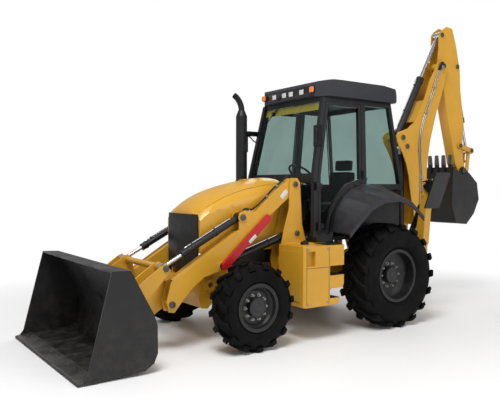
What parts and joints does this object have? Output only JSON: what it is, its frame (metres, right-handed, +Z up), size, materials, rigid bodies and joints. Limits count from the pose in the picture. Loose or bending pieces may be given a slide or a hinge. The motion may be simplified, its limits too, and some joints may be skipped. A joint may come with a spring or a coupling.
{
  "type": "backhoe loader",
  "caption": "Backhoe loader with a front loader bucket, a glazed cab, a folded rear backhoe and two raised stabiliser legs.",
  "frame": {"origin": "on the ground at the middle of the machine's length and width, with the loader bucket on the ground and the backhoe folded", "axes": "+X forward, from the backhoe to the loader bucket; +Y to the machine's left; +Z up"},
  "size_m": [6.914, 2.22, 4.2568],
  "materials": {
    "yellow_paint": "semi-gloss",
    "chassis_black": "satin",
    "bucket_charcoal": "worn satin",
    "dark_plastic": "matte",
    "interior_plastic": "matte",
    "seat_fabric": "woven",
    "engine_grey": "cast",
    "red_paint": "semi-gloss",
    "bright_rod": "polished",
    "tyre_rubber": "matte",
    "rim_black": "satin",
    "lamp_lens": "clear",
    "glass": "clear"
  },
  "bodies": {
    "machine": {"main_frame": "yellow_paint", "front_axle": "chassis_black", "rear_axle": "chassis_black", "engine_block": "engine_grey", "step_boxes": "yellow_paint", "fenders": "dark_plastic", "cab_frame": "chassis_black", "cab_roof": "dark_plastic", "cab_glass": "glass", "seat": "seat_fabric", "console": "interior_plastic", "exhaust_stack": "chassis_black", "roof_lamps": "lamp_lens", "mirrors": "interior_plastic", "hoe_frame": "yellow_paint"},
    "hood": {"hood": "yellow_paint", "grille": "interior_plastic"},
    "loader_arms": {"loader_arms": "yellow_paint", "safety_strut": "red_paint"},
    "loader_bucket": {"coupler": "yellow_paint", "loader_bucket": "bucket_charcoal"},
    "lift_barrels": {"lift_barrels": "chassis_black"},
    "lift_rods": {"lift_rods": "bright_rod"},
    "tilt_barrels": {"tilt_barrels": "chassis_black"},
    "tilt_rods": {"tilt_rods": "bright_rod"},
    "swing_post": {"swing_post": "yellow_paint"},
    "boom": {"boom": "yellow_paint"},
    "boom_barrel": {"boom_barrel": "chassis_black"},
    "boom_rod": {"boom_rod": "bright_rod"},
    "dipper": {"dipper": "yellow_paint"},
    "dipper_barrel": {"dipper_barrel": "chassis_black"},
    "dipper_rod": {"dipper_rod": "bright_rod"},
    "bucket_barrel": {"bucket_barrel": "chassis_black"},
    "bucket_rod": {"bucket_rod": "bright_rod"},
    "idler_links": {"idler_links": "yellow_paint"},
    "tipping_link": {"tipping_link": "yellow_paint"},
    "hoe_bucket": {"hoe_bucket": "bucket_charcoal"},
    "door_left": {"door_left": "chassis_black", "door_glass_left": "glass"},
    "knuckle_left": {"knuckle_left": "chassis_black"},
    "front_wheel_left": {"front_tyre_left": "tyre_rubber", "front_rim_left": "rim_black"},
    "rear_wheel_left": {"rear_tyre_left": "tyre_rubber", "rear_rim_left": "rim_black"},
    "stabiliser_leg_left": {"stabiliser_leg_left": "yellow_paint"},
    "stabiliser_barrel_left": {"stabiliser_barrel_left": "chassis_black"},
    "stabiliser_rod_left": {"stabiliser_rod_left": "bright_rod"},
    "pad_left": {"stabiliser_pad_left": "chassis_black"},
    "door_right": {"door_right": "chassis_black", "door_glass_right": "glass"},
    "knuckle_right": {"knuckle_right": "chassis_black"},
    "front_wheel_right": {"front_tyre_right": "tyre_rubber", "front_rim_right": "rim_black"},
    "rear_wheel_right": {"rear_tyre_right": "tyre_rubber", "rear_rim_right": "rim_black"},
    "stabiliser_leg_right": {"stabiliser_leg_right": "yellow_paint"},
    "stabiliser_barrel_right": {"stabiliser_barrel_right": "chassis_black"},
    "stabiliser_rod_right": {"stabiliser_rod_right": "bright_rod"},
    "pad_right": {"stabiliser_pad_right": "chassis_black"}
  },
  "joints": [
    {"name": "loader_lift", "type": "hinge", "parent": "machine", "child": "loader_arms", "pos_m": [0.662, 0, 1.78], "axis": [0, -1, 0], "range_deg": [-2.5, 88]},
    {"name": "bucket_tilt", "type": "hinge", "parent": "loader_arms", "child": "loader_bucket", "pos_m": [2.285, 0, 0.52], "axis": [0, 1, 0], "range_deg": [-28, 80]},
    {"name": "lift_barrels_pivot", "type": "hinge", "parent": "machine", "child": "lift_barrels", "pos_m": [0.635, 0, 1.2], "axis": [0, -1, 0], "range_deg": [-2.64, 75.96]},
    {"name": "lift_rods_slide", "type": "slide", "parent": "lift_barrels", "child": "lift_rods", "axis": [0.9547, 0, -0.2975], "range_m": [-0.0252, 0.7505]},
    {"name": "tilt_barrels_pivot", "type": "hinge", "parent": "loader_arms", "child": "tilt_barrels", "pos_m": [1.399, 0, 1.406], "axis": [0, 1, 0], "range_deg": [-3.1, 7.94]},
    {"name": "tilt_rods_slide", "type": "slide", "parent": "tilt_barrels", "child": "tilt_rods", "axis": [0.8866, 0, -0.4626], "range_m": [-0.1699, 0.4781]},
    {"name": "steer_left", "type": "hinge", "parent": "machine", "child": "knuckle_left", "pos_m": [1.504, 0.8, 0.475], "axis": [0, 0, 1], "range_deg": [-33, 33]},
    {"name": "front_wheel_left_turn", "type": "hinge", "parent": "knuckle_left", "child": "front_wheel_left", "pos_m": [1.504, 0.908, 0.475], "axis": [0, 1, 0], "continuous": true},
    {"name": "rear_wheel_left_turn", "type": "hinge", "parent": "machine", "child": "rear_wheel_left", "pos_m": [-0.6, 0.876, 0.646], "axis": [0, 1, 0], "continuous": true},
    {"name": "steer_right", "type": "hinge", "parent": "machine", "child": "knuckle_right", "pos_m": [1.504, -0.8, 0.475], "axis": [0, 0, 1], "range_deg": [-33, 33]},
    {"name": "front_wheel_right_turn", "type": "hinge", "parent": "knuckle_right", "child": "front_wheel_right", "pos_m": [1.504, -0.908, 0.475], "axis": [0, 1, 0], "continuous": true},
    {"name": "rear_wheel_right_turn", "type": "hinge", "parent": "machine", "child": "rear_wheel_right", "pos_m": [-0.6, -0.876, 0.646], "axis": [0, 1, 0], "continuous": true},
    {"name": "hood_hinge", "type": "hinge", "parent": "machine", "child": "hood", "pos_m": [0.625, 0, 1.79], "axis": [0, -1, 0], "range_deg": [0, 50]},
    {"name": "door_left_hinge", "type": "hinge", "parent": "machine", "child": "door_left", "pos_m": [0.431, 0.76594, 1.11176], "axis": [0, 0.0732, -0.9973], "range_deg": [0, 80]},
    {"name": "door_right_hinge", "type": "hinge", "parent": "machine", "child": "door_right", "pos_m": [0.431, -0.76594, 1.11176], "axis": [0, 0.0732, 0.9973], "range_deg": [0, 80]},
    {"name": "swing", "type": "hinge", "parent": "machine", "child": "swing_post", "pos_m": [-1.94, 0, 0.68], "axis": [0, 0, 1], "range_deg": [-90, 90]},
    {"name": "boom_lower", "type": "hinge", "parent": "swing_post", "child": "boom", "pos_m": [-2.082, 0, 0.88], "axis": [0, -1, 0], "range_deg": [0, 110]},
    {"name": "boom_barrel_pivot", "type": "hinge", "parent": "swing_post", "child": "boom_barrel", "pos_m": [-1.84, 0, 1.06], "axis": [0, -1, 0], "range_deg": [-0.5, 105.75]},
    {"name": "boom_rod_slide", "type": "slide", "parent": "boom_barrel", "child": "boom_rod", "axis": [0.0194, 0, 0.9998], "range_m": [-0.004, 0.482]},
    {"name": "dipper_out", "type": "hinge", "parent": "boom", "child": "dipper", "pos_m": [-2.635, 0, 3.62], "axis": [0, 1, 0], "range_deg": [0, 100]},
    {"name": "dipper_barrel_pivot", "type": "hinge", "parent": "boom", "child": "dipper_barrel", "pos_m": [-1.725, 0, 2.475], "axis": [0, 1, 0], "range_deg": [-0.5, 8.29]},
    {"name": "dipper_rod_slide", "type": "slide", "parent": "dipper_barrel", "child": "dipper_rod", "axis": [-0.4936, 0, 0.8697], "range_m": [-0.7199, 0.004]},
    {"name": "hoe_bucket_dump", "type": "hinge", "parent": "dipper", "child": "hoe_bucket", "pos_m": [-3.19, 0, 2.02], "axis": [0, 1, 0], "range_deg": [-30, 100]},
    {"name": "idler_pivot", "type": "hinge", "parent": "dipper", "child": "idler_links", "pos_m": [-3.112, 0, 2.412], "axis": [0, 1, 0], "range_deg": [-19.96, 65.37]},
    {"name": "tipping_link_pivot", "type": "hinge", "parent": "idler_links", "child": "tipping_link", "pos_m": [-3.404, 0, 2.343], "axis": [0, 1, 0], "range_deg": [-60.25, 18.42]},
    {"name": "bucket_barrel_pivot", "type": "hinge", "parent": "dipper", "child": "bucket_barrel", "pos_m": [-3.04, 0, 3.66], "axis": [0, 1, 0], "range_deg": [-1.64, 0.84]},
    {"name": "bucket_rod_slide", "type": "slide", "parent": "bucket_barrel", "child": "bucket_rod", "axis": [-0.2664, 0, -0.9639], "range_m": [-0.325, 0.1003]},
    {"name": "stabiliser_left_lower", "type": "hinge", "parent": "machine", "child": "stabiliser_leg_left", "pos_m": [-1.48, 0.6, 0.7], "axis": [-1, 0, 0], "range_deg": [0, 110]},
    {"name": "stabiliser_barrel_left_pivot", "type": "hinge", "parent": "machine", "child": "stabiliser_barrel_left", "pos_m": [-1.48, 0.43, 0.93], "axis": [-1, 0, 0], "range_deg": [-0.5, 100.84]},
    {"name": "stabiliser_rod_left_slide", "type": "slide", "parent": "stabiliser_barrel_left", "child": "stabiliser_rod_left", "axis": [0, 0.413, 0.9107], "range_m": [-0.004, 0.4429]},
    {"name": "pad_left_swivel", "type": "hinge", "parent": "stabiliser_leg_left", "child": "pad_left", "pos_m": [-1.48, 0.814, 1.8], "axis": [1, 0, 0], "range_deg": [0, 41]},
    {"name": "stabiliser_right_lower", "type": "hinge", "parent": "machine", "child": "stabiliser_leg_right", "pos_m": [-1.48, -0.6, 0.7], "axis": [1, 0, 0], "range_deg": [0, 110]},
    {"name": "stabiliser_barrel_right_pivot", "type": "hinge", "parent": "machine", "child": "stabiliser_barrel_right", "pos_m": [-1.48, -0.43, 0.93], "axis": [1, 0, 0], "range_deg": [-0.5, 100.84]},
    {"name": "stabiliser_rod_right_slide", "type": "slide", "parent": "stabiliser_barrel_right", "child": "stabiliser_rod_right", "axis": [0, -0.413, 0.9107], "range_m": [-0.004, 0.4429]},
    {"name": "pad_right_swivel", "type": "hinge", "parent": "stabiliser_leg_right", "child": "pad_right", "pos_m": [-1.48, -0.814, 1.8], "axis": [-1, 0, 0], "range_deg": [0, 41]}
  ],
  "couplings": [
    {"joint": "lift_barrels_pivot", "follows": "loader_lift", "ratio": 0.85755},
    {"joint": "lift_rods_slide", "follows": "loader_lift", "m_per_rad": 0.48604},
    {"joint": "tilt_barrels_pivot", "follows": "bucket_tilt", "ratio": 0.09294},
    {"joint": "tilt_rods_slide", "follows": "bucket_tilt", "m_per_rad": 0.33957},
    {"joint": "steer_right", "follows": "steer_left", "ratio": 1},
    {"joint": "boom_barrel_pivot", "follows": "boom_lower", "ratio": 0.95679},
    {"joint": "boom_rod_slide", "follows": "boom_lower", "m_per_rad": 0.24896},
    {"joint": "dipper_barrel_pivot", "follows": "dipper_out", "ratio": 0.07794},
    {"joint": "dipper_rod_slide", "follows": "dipper_out", "m_per_rad": -0.4102},
    {"joint": "idler_pivot", "follows": "hoe_bucket_dump", "ratio": 0.64875},
    {"joint": "tipping_link_pivot", "follows": "hoe_bucket_dump", "ratio": -0.59749},
    {"joint": "bucket_barrel_pivot", "follows": "hoe_bucket_dump", "ratio": -0.01136},
    {"joint": "bucket_rod_slide", "follows": "hoe_bucket_dump", "m_per_rad": -0.18392},
    {"joint": "stabiliser_barrel_left_pivot", "follows": "stabiliser_left_lower", "ratio": 0.91221},
    {"joint": "stabiliser_rod_left_slide", "follows": "stabiliser_left_lower", "m_per_rad": 0.22861},
    {"joint": "stabiliser_barrel_right_pivot", "follows": "stabiliser_right_lower", "ratio": 0.91221},
    {"joint": "stabiliser_rod_right_slide", "follows": "stabiliser_right_lower", "m_per_rad": 0.22861}
  ]
}
